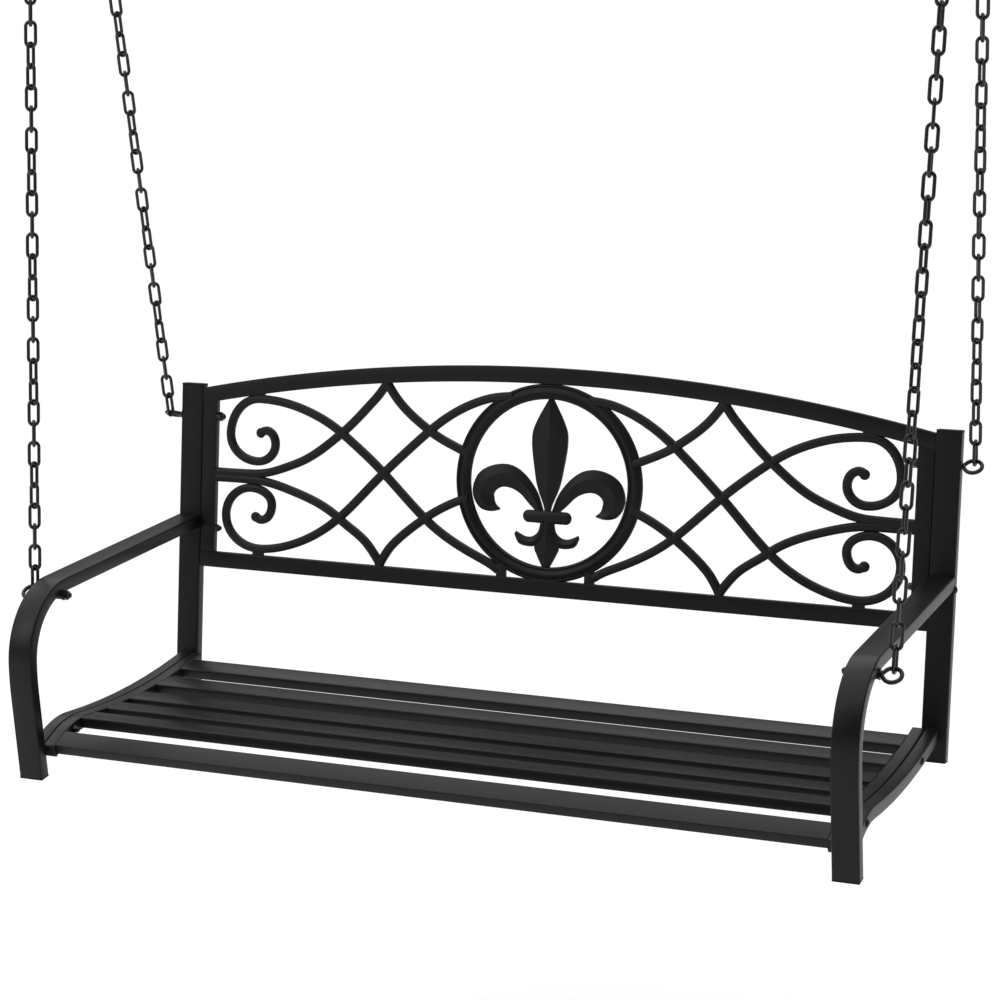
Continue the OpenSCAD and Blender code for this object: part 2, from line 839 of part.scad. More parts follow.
// ---- ceiling hangers ----
module gather_ring(s) {
    hung() on_side(s)
        translate(aim)
            rotate([0, 90, 0])
                rotate_extrude($fn = 60)
                    translate([gather_r, 0]) circle(d = gather_wire, $fn = 24);
}

module hook_half() {
    translate([hook_flat / 2, 0, 0])
        rotate([0, 0, -90])
            rotate_extrude(angle = 180, $fn = 60)
                translate([hook_r, 0]) circle(d = hook_wire, $fn = 24);
}

module hook(s) {
    on_side(s)
        translate([aim[0], 0, hook_z])
            rotate([90, 0, 0]) {
                hook_half();
                mirror([1, 0, 0]) hook_half();
                for (y = [-hook_r, hook_r])
                    translate([-hook_flat / 2, y, 0])
                        rotate([0, 90, 0]) cylinder(h = hook_flat, d = hook_wire, $fn = 24);
            }
}

module ceiling_plate(s) {
    corner = 8;
    on_side(s)
        translate([hanger_span / 2, 0, -plate_t])
            difference() {
                union() {
                    translate([-plate_l / 2 + corner, -plate_w / 2, 0])
                        cube([plate_l - 2 * corner, plate_w, plate_t]);
                    translate([-plate_l / 2, -plate_w / 2 + corner, 0])
                        cube([plate_l, plate_w - 2 * corner, plate_t]);
                    for (x = [-1, 1], y = [-1, 1])
                        translate([x * (plate_l / 2 - corner), y * (plate_w / 2 - corner), 0])
                            cylinder(h = plate_t, r = corner);
                }
                for (x = [-1, 1], y = [-1, 1])
                    translate([x * screw_x / 2, y * screw_y / 2, -1])
                        cylinder(h = plate_t + 2, d = screw_d);
            }
}

// ---- sub-parts ----
color(black) arm(-1);  // left_arm
color(black) arm(1);  // right_arm
color(black) post(-1);  // left_post
color(black) post(1);  // right_post
color(black) seat_rail(-1);  // left_seat_rail
color(black) seat_rail(1);  // right_seat_rail
color(black) side_bar(-1);  // left_side_bar
color(black) side_bar(1);  // right_side_bar
color(black) slat(side_bar_front, front_slat_w);  // front_slat
color(black) slat(slat_front[0], slat_w);  // slat_2
color(black) slat(slat_front[1], slat_w);  // slat_3
color(black) slat(slat_front[2], slat_w);  // slat_4
color(black) slat(slat_front[3], slat_w);  // slat_5
color(black) slat(slat_front[4], slat_w);  // slat_6
color(black) top_rail();
color(black) bottom_rail();
color(black) stile(-1);  // left_stile
color(black) stile(1);  // right_stile
color(black) medallion_ring();
color(black) lily_ornament();
color(black) scrollwork(-1);  // left_scrollwork
color(black) scrollwork(1);  // right_scrollwork
color(plastic) post_caps();
color(plastic) post_plugs();
color(plastic) foot_plugs();
color(plastic) side_bar_plugs();
color(black) front_bushings();
color(black) eye_bolts();
color(black) eye_bolt_washers();
color(black) eye_bolt_nuts();
color(black) back_bolts();
color(black) back_bolt_nuts();
color(black) seat_bolts();
color(black) seat_bolt_nuts();
color(black) chain(-1, front_hang, 18);  // front_left_chain
color(black) chain(1, front_hang, 4.5);  // front_right_chain
color(black) chain(-1, turned_hang, 18);  // rear_left_chain
color(black) chain(1, rear_hang, -8);  // rear_right_chain
color(black) gather_ring(-1);  // left_gather_ring
color(black) gather_ring(1);  // right_gather_ring
color(black) hook(-1);  // left_hook
color(black) hook(1);  // right_hook
color(black) ceiling_plate(-1);  // left_ceiling_plate
color(black) ceiling_plate(1);  // right_ceiling_plate
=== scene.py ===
"""The looks of a black powder-coated porch swing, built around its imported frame."""

import json
import math

import bmesh
import bpy
from mathutils import Matrix, Vector


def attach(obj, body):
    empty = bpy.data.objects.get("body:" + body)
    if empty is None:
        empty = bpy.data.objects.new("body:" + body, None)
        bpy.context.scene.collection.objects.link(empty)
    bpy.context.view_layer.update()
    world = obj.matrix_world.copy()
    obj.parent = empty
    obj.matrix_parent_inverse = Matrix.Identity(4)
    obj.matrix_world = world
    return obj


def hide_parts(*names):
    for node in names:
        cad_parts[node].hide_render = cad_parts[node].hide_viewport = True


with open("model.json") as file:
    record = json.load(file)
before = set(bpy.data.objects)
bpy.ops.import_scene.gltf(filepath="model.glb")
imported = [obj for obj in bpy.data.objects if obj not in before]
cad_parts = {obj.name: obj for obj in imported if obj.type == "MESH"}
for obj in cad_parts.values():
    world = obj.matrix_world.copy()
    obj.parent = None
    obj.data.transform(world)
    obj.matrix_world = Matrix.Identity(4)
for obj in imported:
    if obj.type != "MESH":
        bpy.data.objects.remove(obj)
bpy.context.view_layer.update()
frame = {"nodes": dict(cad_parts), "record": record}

# Sizes in millimetres and degrees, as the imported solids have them.
MM = 0.001
POST_LEAN = math.radians(5)
LEG_LEAN = 8
ROLL_SLOPE = 23
FRAME_DEPTH = 466
HALF_WIDTH = 635
TUBE_W = 38
ARM_T = 20
POST_T = 18
RAIL_T = 19
SLAT_T = 16
FACE_W = 25
FACE_D = 12
CAST_T = 9
PANEL_HALF = 596.5
OPEN_HALF = PANEL_HALF - FACE_W
PANEL_LOW = 228
OPEN_H = 301
PANEL_RECESS = 1
ARCH_IN = 2844.62
ARCH_Y = PANEL_LOW + FACE_W + OPEN_H - ARCH_IN
RING_Y = 402.3
RING_OUT = 152.5
RING_IN = 128.5
PLUG_T = 3
PLUG_IN = HALF_WIDTH - TUBE_W
RAIL_IN = 605
BAR_IN = 585
SIDES = (("left", -1), ("right", 1))

# The seat's own zero is the front of the feet, on the centre line. It hangs leaning back.
HANG_Y, HANG_Z, RING_Z, HANG_LEAN = 228, 2055, -79.65, 2.52
HANG = (
    Matrix.Translation((0, 0, RING_Z * MM))
    @ Matrix.Rotation(-math.radians(HANG_LEAN), 4, "X")
    @ Matrix.Translation((0, -HANG_Y * MM, -HANG_Z * MM))
)


# ---- camera, floor and light ----
def place_camera():
    lens = bpy.data.cameras.new("camera")
    lens.sensor_width = 36
    lens.lens = 97.618
    lens.shift_x, lens.shift_y = 0.0007, 0.0005
    lens.clip_end = 6000
    camera = bpy.data.objects.new("camera", lens)
    place = Matrix.Translation((1.490946, -3.284875, 1.140361))
    facing = Matrix.Rotation(math.radians(22.517), 4, "Z")
    facing = facing @ Matrix.Rotation(math.radians(90 - 10.657), 4, "X")
    camera.matrix_world = HANG @ place @ facing
    bpy.context.scene.collection.objects.link(camera)
    bpy.context.scene.camera = camera


def area_light(name, power, size, place, target):
    data = bpy.data.lights.new(name, "AREA")
    data.shape = "RECTANGLE"
    data.size, data.size_y = size
    data.energy = power
    light = bpy.data.objects.new(name, data)
    light.location = HANG @ Vector(place)
    aim = HANG @ Vector(target) - light.location
    light.rotation_euler = aim.to_track_quat("-Z", "Y").to_euler()
    bpy.context.scene.collection.objects.link(light)


def light_studio():
    scene = bpy.context.scene
    scene.view_settings.view_transform = "Standard"
    world = bpy.data.worlds.new("studio")
    world.use_nodes = True
    world.node_tree.nodes["Background"].inputs["Color"].default_value = (1, 1, 1, 1)
    world.node_tree.nodes["Background"].inputs["Strength"].default_value = 0.16
    scene.world = world
    sun = bpy.data.lights.new("overhead", "SUN")
    sun.energy = 3.1
    sun.angle = math.radians(100)
    top = bpy.data.objects.new("overhead", sun)
    top.rotation_euler = (math.radians(-12), math.radians(-10), 0)
    scene.collection.objects.link(top)
    area_light("window", 38, (1.2, 2.0), (-2.4, -2.6, 2.2), (0, 0.2, 0.3))
    area_light("fill", 3, (2.0, 2.0), (3.2, -1.6, 1.0), (0.3, 0.2, 0.2))


# ---- shading ----
class Value:
    """A shader socket that takes part in arithmetic."""

    def __init__(self, shader, socket):
        self.shader, self.socket = shader, socket

    def _math(self, kind, a, b):
        return self.shader.add("ShaderNodeMath", {"operation": kind}, {0: a, 1: b})

    def __add__(self, other):
        return self._math("ADD", self, other)

    __radd__ = __add__

    def __sub__(self, other):
        return self._math("SUBTRACT", self, other)

    def __rsub__(self, other):
        return self._math("SUBTRACT", other, self)

    def __mul__(self, other):
        return self._math("MULTIPLY", self, other)

    __rmul__ = __mul__


class Finish:
    """One material, and the nodes that make it."""

    def __init__(self, name):
        self.material = bpy.data.materials.new(name)
        self.material.use_nodes = True
        self.tree = self.material.node_tree
        self.surface = self.tree.nodes["Principled BSDF"]
        self.place = self.add("ShaderNodeTexCoord", {}, {}, "Object")

    def add(self, kind, settings, inputs, output=0):
        node = self.tree.nodes.new(kind)
        for key, value in settings.items():
            if key == "stops":
                ramp = node.color_ramp.elements
                for spot, (at, colour) in enumerate(value):
                    stop = ramp[spot] if spot < 2 else ramp.new(at)
                    stop.position, stop.color = at, colour
            else:
                setattr(node, key, value)
        for key, value in inputs.items():
            if isinstance(value, Value):
                self.tree.links.new(value.socket, node.inputs[key])
            else:
                node.inputs[key].default_value = value
        return Value(self, node.outputs[output])

    def set(self, **inputs):
        for key, value in inputs.items():
            socket = self.surface.inputs[key.replace("_", " ")]
            if isinstance(value, Value):
                self.tree.links.new(value.socket, socket)
            else:
                socket.default_value = value

    def noise(self, scale, detail=3.0, roughness=0.5):
        return self.add(
            "ShaderNodeTexNoise",
            {},
            {"Vector": self.place, "Scale": scale, "Detail": detail, "Roughness": roughness},
        )

    def tint(self, factor, dark, light):
        return self.add(
            "ShaderNodeMix",
            {"data_type": "RGBA"},
            {"Factor": factor, 6: (*dark, 1), 7: (*light, 1)},
            2,
        )

    def bump(self, height, strength, depth):
        return self.add(
            "ShaderNodeBump", {}, {"Height": height, "Strength": strength, "Distance": depth}
        )


def powder_coat(name, dark, light, shine, gloss, peel, peel_scale):
    """Baked powder: a fine orange peel, faint clouds of tone and a little uneven gloss."""
    coat = Finish(name)
    clouds = coat.noise(9.0, 4.0, 0.6)
    grain = coat.noise(peel_scale, 2.0, 0.5)
    specks = coat.noise(peel_scale * 3.1, 1.0, 0.5)
    coat.set(
        Base_Color=coat.tint(0.7 * clouds + 0.3 * specks, (dark,) * 3, (light,) * 3),
        Roughness=(gloss - 0.05) + 0.07 * clouds + 0.05 * grain,
        Normal=coat.bump(grain + 0.35 * specks, peel, 0.0004),
        Specular_IOR_Level=shine,
    )
    return coat.material


def moulded_plastic(name):
    plastic = Finish(name)
    grain = plastic.noise(900.0, 2.0, 0.6)
    clouds = plastic.noise(30.0, 2.0, 0.5)
    plastic.set(
        Base_Color=plastic.tint(clouds, (0.004,) * 3, (0.007,) * 3),
        Specular_IOR_Level=0.2,
        Roughness=0.5 + 0.12 * grain,
        Normal=plastic.bump(grain, 0.25, 0.0003),
    )
    return plastic.material


# ---- making pieces ----
def keep(name, bm, body, slot, material, *nodes, sharp=35):
    """Turns a finished mesh into a piece that rides on a body and stands for its CAD nodes."""
    mesh = bpy.data.meshes.new(name)
    bm.to_mesh(mesh)
    bm.free()
    mesh.materials.append(material)
    mesh.polygons.foreach_set("use_smooth", [True] * len(mesh.polygons))
    mesh.set_sharp_from_angle(angle=math.radians(sharp))
    piece = bpy.data.objects.new(name, mesh)
    bpy.context.scene.collection.objects.link(piece)
    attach(piece, body)
    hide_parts(*nodes)


def section(bm, width, height, corner, place):
    """A loop of edges round a bar's section, with rounded corners, in its own XY plane."""
    size = Matrix.Diagonal((width, height, 1, 1))
    made = bmesh.ops.create_grid(bm, x_segments=1, y_segments=1, size=0.5, matrix=size)
    bmesh.ops.bevel(
        bm,
        geom=made["verts"],
        affect="VERTICES",
        offset=corner,
        offset_type="OFFSET",
        segments=4,
        profile=0.5,
        material=-1,
    )
    faces = [f for f in bm.faces if all(abs(v.co.z) < 1e-9 for v in f.verts)]
    edges = list({e for f in faces for e in f.edges})
    verts = list({v for e in edges for v in e.verts})
    bmesh.ops.delete(bm, geom=faces, context="FACES_ONLY")
    bmesh.ops.transform(bm, matrix=place, verts=verts)
    return edges


def ends_closed(bm):
    rims = [e for e in bm.edges if e.is_boundary]
    if rims:
        bmesh.ops.holes_fill(bm, edges=rims, sides=0)
    bmesh.ops.recalc_face_normals(bm, faces=bm.faces)


def stretch(bm, edges, by):
    made = bmesh.ops.extrude_edge_only(bm, edges=edges)["geom"]
    verts = [g for g in made if isinstance(g, bmesh.types.BMVert)]
    bmesh.ops.translate(bm, verts=verts, vec=by)
    return [g for g in made if isinstance(g, bmesh.types.BMEdge) and g.is_boundary]


def turn(bm, edges, centre, axis, angle, steps):
    verts = list({v for e in edges for v in e.verts})
    made = bmesh.ops.spin(
        bm,
        geom=verts + list(edges),
        cent=centre,
        axis=axis,
        dvec=(0, 0, 0),
        angle=angle,
        steps=steps,
        use_merge=False,
        use_duplicate=False,
    )["geom_last"]
    return [g for g in made if isinstance(g, bmesh.types.BMEdge)]


def cut_off(bm, point, outward):
    bmesh.ops.bisect_plane(
        bm,
        geom=bm.verts[:] + bm.edges[:] + bm.faces[:],
        plane_co=point,
        plane_no=outward,
        clear_outer=True,
        dist=1e-7,
    )


def bent_bar(steps, start, heading, thick, width, corner):
    """A bar bent in the side view: X depth, Y height, Z width. Its upper face follows the steps."""
    bm = bmesh.new()
    at, facing = Vector((*start, 0)) * MM, math.radians(heading)
    middle = Matrix.Translation((0, -thick / 2 * MM, width / 2 * MM))
    along = Matrix.Translation(at) @ Matrix.Rotation(facing, 4, "Z") @ middle
    edges = section(
        bm, width * MM, thick * MM, corner * MM, along @ Matrix.Rotation(math.radians(90), 4, "Y")
    )
    for reach, bend in steps:
        if bend:
            side = math.copysign(1, bend)
            up = Vector((-math.sin(facing), math.cos(facing), 0))
            centre = at - side * reach * MM * up
            angle = math.radians(bend)
            count = max(3, math.ceil(abs(bend) / 2.0))
            edges = turn(bm, edges, centre, (0, 0, 1), -angle, count)
            at = centre + Matrix.Rotation(-angle, 3, "Z") @ (at - centre)
            facing -= angle
        else:
            ahead = Vector((math.cos(facing), math.sin(facing), 0)) * reach * MM
            edges = stretch(bm, edges, ahead)
            at = at + ahead
    return bm


def side_view(bm, x, side):
    """Stands a side view up at a distance from the centre line, on the left or the right."""
    up = Matrix(((0, 0, 1, x * MM), (1, 0, 0, 0), (0, 1, 0, 0), (0, 0, 0, 1)))
    bmesh.ops.transform(bm, matrix=HANG @ up, verts=bm.verts)
    on_side(bm, side)


def on_side(bm, side):
    if side < 0:
        bmesh.ops.scale(bm, vec=(-1, 1, 1), verts=bm.verts)
        bmesh.ops.reverse_faces(bm, faces=bm.faces)


def back_plane():
    """The back panel's plane: X across, Y up the posts, Z towards the front, in metres."""
    s, c = math.sin(POST_LEAN), math.cos(POST_LEAN)
    lean = Matrix(((1, 0, 0, 0), (0, s, -c, FRAME_DEPTH * MM), (0, c, s, 0), (0, 0, 0, 1)))
    return HANG @ lean


def on_back(bm, z=0.0):
    place = back_plane() @ Matrix.Translation((0, 0, z * MM))
    bmesh.ops.transform(bm, matrix=place, verts=bm.verts)


# ---- side frames ----
def make_arms(coat):
    steps = ((128, 0), (350, LEG_LEAN), (110, 87), (566, 0))
    lean = math.radians(LEG_LEAN)
    start = (-PLUG_T * math.sin(lean), PLUG_T * math.cos(lean))
    for word, side in SIDES:
        bm = bent_bar(steps, start, 90 + LEG_LEAN, ARM_T, TUBE_W, 2.4)
        front = Vector((FRAME_DEPTH, 0, 0)) * MM
        cut_off(bm, front, (math.cos(POST_LEAN), -math.sin(POST_LEAN), 0))
        ends_closed(bm)
        side_view(bm, PLUG_IN, side)
        keep(f"{word}_armrest", bm, "swing", "coated_steel", coat, f"{word}_arm")


POST_LEN = 479.319
POST_LOW = 40
POST_FOOT = (
    FRAME_DEPTH + POST_LOW * math.sin(POST_LEAN),
    POST_LOW * math.cos(POST_LEAN),
)


def make_posts(coat):
    for word, side in SIDES:
        bm = bent_bar(((POST_LEN, 0),), POST_FOOT, 85, POST_T, TUBE_W, 2.2)
        ends_closed(bm)
        side_view(bm, PLUG_IN, side)
        keep(f"{word}_back_post", bm, "swing", "coated_steel", coat, f"{word}_post")


# The seat's line from the front: a straight slope, a roll over the crest and a shallow dish.
ROLL_R, DISH_R = 140, 1450
CREST_Y = 115
DISH_Y, DISH_Z = 235, 69
ROLL_Y, ROLL_Z = 103.414, -65.5457
CREST = math.degrees(math.asin((DISH_Y - CREST_Y) / DISH_R))
NOSE = (48.7114, 63.325)
NOSE_LEN = 60
SLAT_FRONT = 18
BAR_END = 467
SEAT_STEPS = ((NOSE_LEN, 0), (ROLL_R, ROLL_SLOPE + CREST), (DISH_R, -CREST - 12.0))


def seat_height(y):
    if y < NOSE[0]:
        return NOSE[1] - (NOSE[0] - y) * math.tan(math.radians(ROLL_SLOPE))
    if y < CREST_Y:
        return ROLL_Z + math.sqrt(ROLL_R**2 - (y - ROLL_Y) ** 2)
    return DISH_Z + DISH_R - math.sqrt(DISH_R**2 - (y - DISH_Y) ** 2)


def seat_bar():
    slope = math.radians(ROLL_SLOPE)
    start = (NOSE[0] - NOSE_LEN * math.cos(slope), NOSE[1] - NOSE_LEN * math.sin(slope))
    return bent_bar(SEAT_STEPS, start, ROLL_SLOPE, RAIL_T, RAIL_T, 1.8)


def make_seat_bars(coat):
    lean = math.radians(LEG_LEAN)
    slope = math.radians(ROLL_SLOPE)
    for word, side in SIDES:
        bm = seat_bar()
        back_of_leg = Vector((math.cos(lean), math.sin(lean), 0))
        cut_off(bm, back_of_leg * ARM_T * MM, -back_of_leg)
        front_of_post = Vector((FRAME_DEPTH * MM, 0, 0))
        cut_off(bm, front_of_post, (math.cos(POST_LEAN), -math.sin(POST_LEAN), 0))
        ends_closed(bm)
        side_view(bm, RAIL_IN, side)
        keep(f"{word}_rail", bm, "swing", "coated_steel", coat, f"{word}_seat_rail")
        bm = seat_bar()
        nose = Vector((SLAT_FRONT, seat_height(SLAT_FRONT), 0)) * MM
        cut_off(bm, nose, (-math.cos(slope), -math.sin(slope), 0))
        cut_off(bm, Vector((BAR_END * MM, 0, 0)), (1, 0, 0))
        ends_closed(bm)
        side_view(bm, BAR_IN, side)
        keep(f"{word}_seat_bar", bm, "swing", "coated_steel", coat, f"{word}_side_bar")


def make_slats(coat):
    fronts = (("front_slat", SLAT_FRONT, 36), ("slat_2", 94, 43), ("slat_3", 169, 43))
    fronts += (("slat_4", 237, 43), ("slat_5", 319, 43), ("slat_6", 399, 43))
    for node, front, width in fronts:
        slope = ROLL_SLOPE
        if front > SLAT_FRONT:
            rise = seat_height(front + width) - seat_height(front)
            slope = math.degrees(math.atan2(rise, width))
        start = (front, seat_height(front))
        # A slat runs across the seat, so its section is swept along the width.
        bm = bmesh.new()
        place = Matrix.Translation((*[v * MM for v in start], 0))
        place = place @ Matrix.Rotation(math.radians(slope), 4, "Z")
        place = place @ Matrix.Translation((width / 2 * MM, -SLAT_T / 2 * MM, 0))
        edges = section(bm, width * MM, SLAT_T * MM, 2.0 * MM, place)
        stretch(bm, edges, Vector((0, 0, 2 * BAR_IN * MM)))
        ends_closed(bm)
        side_view(bm, -BAR_IN, 1)
        keep(f"{node}_tube", bm, "swing", "coated_steel", coat, node)


# ---- back panel ----
def make_panel_frame(coat):
    mid = -PANEL_RECESS - FACE_D / 2
    half_angle = math.asin((PANEL_HALF + 12) / ARCH_IN)
    bm = bmesh.new()
    middle = Matrix.Translation((0, (ARCH_IN + FACE_W / 2) * MM, 0))
    upright = Matrix.Rotation(math.radians(90), 4, "Y")
    edges = section(bm, FACE_D * MM, FACE_W * MM, 1.4 * MM, middle @ upright)
    first = Matrix.Rotation(-half_angle, 4, "Z")
    bmesh.ops.transform(bm, matrix=first, verts=list({v for e in edges for v in e.verts}))
    turn(bm, edges, (0, 0, 0), (0, 0, 1), 2 * half_angle, 96)
    bmesh.ops.translate(bm, verts=bm.verts, vec=(0, ARCH_Y * MM, 0))
    for side in (-1, 1):
        cut_off(bm, (side * PANEL_HALF * MM, 0, 0), (side, 0, 0))
    ends_closed(bm)
    on_back(bm, mid)
    keep("arched_rail", bm, "swing", "coated_steel", coat, "top_rail")

    bm = bmesh.new()
    place = Matrix.Translation((-PANEL_HALF * MM, (PANEL_LOW + FACE_W / 2) * MM, 0)) @ upright
    edges = section(bm, FACE_D * MM, FACE_W * MM, 1.4 * MM, place)
    stretch(bm, edges, Vector((2 * PANEL_HALF * MM, 0, 0)))
    ends_closed(bm)
    on_back(bm, mid)
    keep("straight_rail", bm, "swing", "coated_steel", coat, "bottom_rail")

    across = OPEN_HALF + FACE_W / 2
    for word, side in SIDES:
        bm = bmesh.new()
        flat = Matrix.Rotation(math.radians(90), 4, "X")
        place = Matrix.Translation((across * MM, (PANEL_LOW + FACE_W) * MM, 0)) @ flat
        edges = section(bm, FACE_W * MM, FACE_D * MM, 1.4 * MM, place)
        stretch(bm, edges, Vector((0, 0.3, 0)))
        radial = Vector((across, math.sqrt(ARCH_IN**2 - across**2), 0))
        at = (radial + Vector((0, ARCH_Y, 0))) * MM
        cut_off(bm, at, radial.normalized())
        ends_closed(bm)
        on_back(bm, mid)
        on_side(bm, side)
        keep(f"{word}_panel_stile", bm, "swing", "coated_steel", coat, f"{word}_stile")


def make_ring(cast):
    """The medallion ring: a flat back, and three raised beads with hollows between them."""
    bm = bmesh.new()
    front = ((0, 5.0), (1.4, 7.4), (3.2, 7.8), (5.4, 5.6), (7.8, 6.2), (10.2, 8.7))
    front += ((12.0, 9.0), (13.8, 8.7), (16.2, 6.2), (18.6, 5.6), (20.8, 7.8), (22.6, 7.4))
    front += ((24, 5.0),)
    outline = ((0.6, 0),) + front + ((23.4, 0),)
    verts = [bm.verts.new(((RING_IN + r) * MM, 0, z * MM)) for r, z in outline]
    edges = [bm.edges.new((verts[i - 1], verts[i])) for i in range(len(verts))]
    bmesh.ops.spin(
        bm,
        geom=verts + edges,
        cent=(0, 0, 0),
        axis=(0, 0, 1),
        dvec=(0, 0, 0),
        angle=2 * math.pi,
        steps=160,
        use_merge=True,
        use_duplicate=False,
    )
    bmesh.ops.recalc_face_normals(bm, faces=bm.faces)
    bmesh.ops.translate(bm, verts=bm.verts, vec=(0, RING_Y * MM, 0))
    on_back(bm, -PANEL_RECESS - CAST_T)
    keep("beaded_ring", bm, "swing", "coated_casting", cast, "medallion_ring", sharp=50)


# ---- scrollwork ----
BAR_W = 13.5
UPPER_SCROLL = ((76, -140, 38), (122, -117, 24), (203, -69, 40), (276, -3, 42), (349, 54, 36))
UPPER_SCROLL += ((430, 92, 16), (498, 101, 0), (549, 43, -90), (500, 1, -180), (468, 32, -275))
UPPER_SCROLL += ((483, 51, -350), (494, 47, -400))
LOWER_SCROLL = ((60, 130, -6), (100, 124, -16), (198, 69, -41), (276, -3, -44), (353, -80, -41))
LOWER_SCROLL += ((430, -126, -20), (494, -139, 0), (554.5, -87, 90), (509, -42, 180))
LOWER_SCROLL += ((472, -70, 275), (488, -92, 350), (500, -88, 400))
BRANCHES = (
    ((130, 36, 24), (200, 69, 34), (252, 110, 47), (276, 142, 58)),
    ((272, 142, -58), (296, 110, -47), (350, 56, -40), (430, 2, -22), (505, -19, -2), (580, -20, 0)),
    ((130, -31, -20), (203, -69, -36), (256, -113, -46), (281, -150, -58)),
    ((276, -150, 58), (300, -118, 48), (352, -80, 38), (430, -44, 17), (505, -29, 1), (580, -29, 0)),
)


def across(x):
    """The pattern starts at the ring and ends at the stile."""
    return RING_OUT + (x - 150.5) * (OPEN_HALF - RING_OUT) / 422


def scroll_curve(cu, run):
    spline = cu.splines.new("BEZIER")
    spline.bezier_points.add(len(run) - 1)
    spots = [Vector((across(x), y, 0)) * MM for x, y, _ in run]
    ways = [Vector((math.cos(math.radians(h)), math.sin(math.radians(h)), 0)) for *_, h in run]
    for i, knot in enumerate(spline.bezier_points):
        knot.handle_left_type = knot.handle_right_type = "FREE"
        knot.co = spots[i]
        reach = [0.0, 0.0]
        for side, j in enumerate((i - 1, i + 1)):
            if 0 <= j < len(run):
                bend = math.radians(run[j][2] - run[i][2])
                chord = (spots[j] - spots[i]).length
                reach[side] = chord / (3 * math.cos(bend / 4) ** 2)
        knot.handle_left = spots[i] - ways[i] * reach[0]
        knot.handle_right = spots[i] + ways[i] * reach[1]


def cast_section():
    """Half-round face on a straight-sided bar."""
    half, back = BAR_W / 2 * MM, -CAST_T / 2 * MM
    cu = bpy.data.curves.new("cast_section", "CURVE")
    face = [(math.cos(a), math.sin(a)) for a in [math.radians(10 + 16 * k) for k in range(11)]]
    points = [(half * x, (0.5 + 4.0 * y) * MM) for x, y in face]
    points += [(-half, back + 0.6 * MM), (-half + 0.6 * MM, back)]
    points += [(half - 0.6 * MM, back), (half, back + 0.6 * MM)]
    spline = cu.splines.new("POLY")
    spline.points.add(len(points) - 1)
    spline.use_cyclic_u = True
    for knot, (x, y) in zip(spline.points, points):
        knot.co = (x, y, 0, 1)
    shape = bpy.data.objects.new("cast_section", cu)
    bpy.context.scene.collection.objects.link(shape)
    return shape


def swept(runs, shape):
    cu = bpy.data.curves.new("runs", "CURVE")
    cu.dimensions = "2D"
    cu.fill_mode = "NONE"
    cu.resolution_u = 10
    cu.bevel_mode = "OBJECT"
    cu.bevel_object = shape
    cu.use_fill_caps = True
    for run in runs:
        scroll_curve(cu, run)
    whole = bpy.data.objects.new("runs", cu)
    bpy.context.scene.collection.objects.link(whole)
    bpy.context.view_layer.update()
    seen = whole.evaluated_get(bpy.context.evaluated_depsgraph_get())
    mesh = bpy.data.meshes.new_from_object(seen)
    bm = bmesh.new()
    bm.from_mesh(mesh)
    bpy.data.objects.remove(whole)
    bpy.data.curves.remove(cu)
    bpy.data.meshes.remove(mesh)
    return bm


def block(bm, low, high, corner):
    """A box between two corners with its edges rounded."""
    low, high = Vector(low) * MM, Vector(high) * MM
    size = Matrix.Diagonal((*(high - low), 1))
    made = bmesh.ops.create_cube(bm, size=1, matrix=Matrix.Translation((low + high) / 2) @ size)
    edges = list({e for v in made["verts"] for e in v.link_edges})
    bmesh.ops.bevel(
        bm,
        geom=edges,
        affect="EDGES",
        offset=corner * MM,
        offset_type="OFFSET",
        segments=3,
        profile=0.5,
        material=-1,
    )


def make_scrollwork(cast):
    shape = cast_section()
    for word, side in SIDES:
        bm = swept((UPPER_SCROLL, LOWER_SCROLL) + BRANCHES, shape)
        for x, y in ((494, 47), (500, -88)):
            ball = Matrix.Translation((across(x) * MM, y * MM, 0))
            ball = ball @ Matrix.Diagonal((1, 1, 0.55, 1))
            bmesh.ops.create_uvsphere(
                bm, u_segments=24, v_segments=12, radius=8.2 * MM, matrix=ball
            )
        block(bm, (across(498) - 9.5, 100, -4), (across(498) + 9.5, 116, 3), 1.2)
        block(bm, (across(494) - 9.5, -152, -4), (across(494) + 9.5, -138, 3), 1.2)
        block(bm, (across(70) - 8, -152, -4), (across(70) + 8, -130, 3), 1.2)
        bmesh.ops.recalc_face_normals(bm, faces=bm.faces)
        bmesh.ops.translate(bm, verts=bm.verts, vec=(0, RING_Y * MM, 0))
        floor = (PANEL_LOW + FACE_W - 1.5) * MM
        cut_off(bm, (0, floor, 0), (0, -1, 0))
        ends_closed(bm)
        on_back(bm, -PANEL_RECESS - CAST_T / 2)
        on_side(bm, side)
        keep(f"{word}_lattice", bm, "swing", "coated_casting", cast, f"{word}_scrollwork", sharp=40)
    bpy.data.objects.remove(shape)


# ---- lily ----
def loft(bm, rings):
    loops = []
    for ring in rings:
        verts = [bm.verts.new(Vector(p) * MM) for p in ring]
        loops.append([bm.edges.new((verts[i - 1], verts[i])) for i in range(len(verts))])
    for a, b in zip(loops, loops[1:]):
        bmesh.ops.bridge_loops(bm, edges=a + b)


def flowing(points, count):
    """A smooth line through given points."""
    out = []
    last = len(points) - 1
    for i in range(last):
        p = [Vector(points[min(max(j, 0), last)]) for j in range(i - 1, i + 3)]
        for k in range(count):
            t = k / count
            a = 2 * p[1] + (p[2] - p[0]) * t
            b = (2 * p[0] - 5 * p[1] + 4 * p[2] - p[3]) * t * t
            c = (3 * p[1] - p[0] - 3 * p[2] + p[3]) * t**3
            out.append((a + b + c) / 2)
    return out + [Vector(points[-1])]


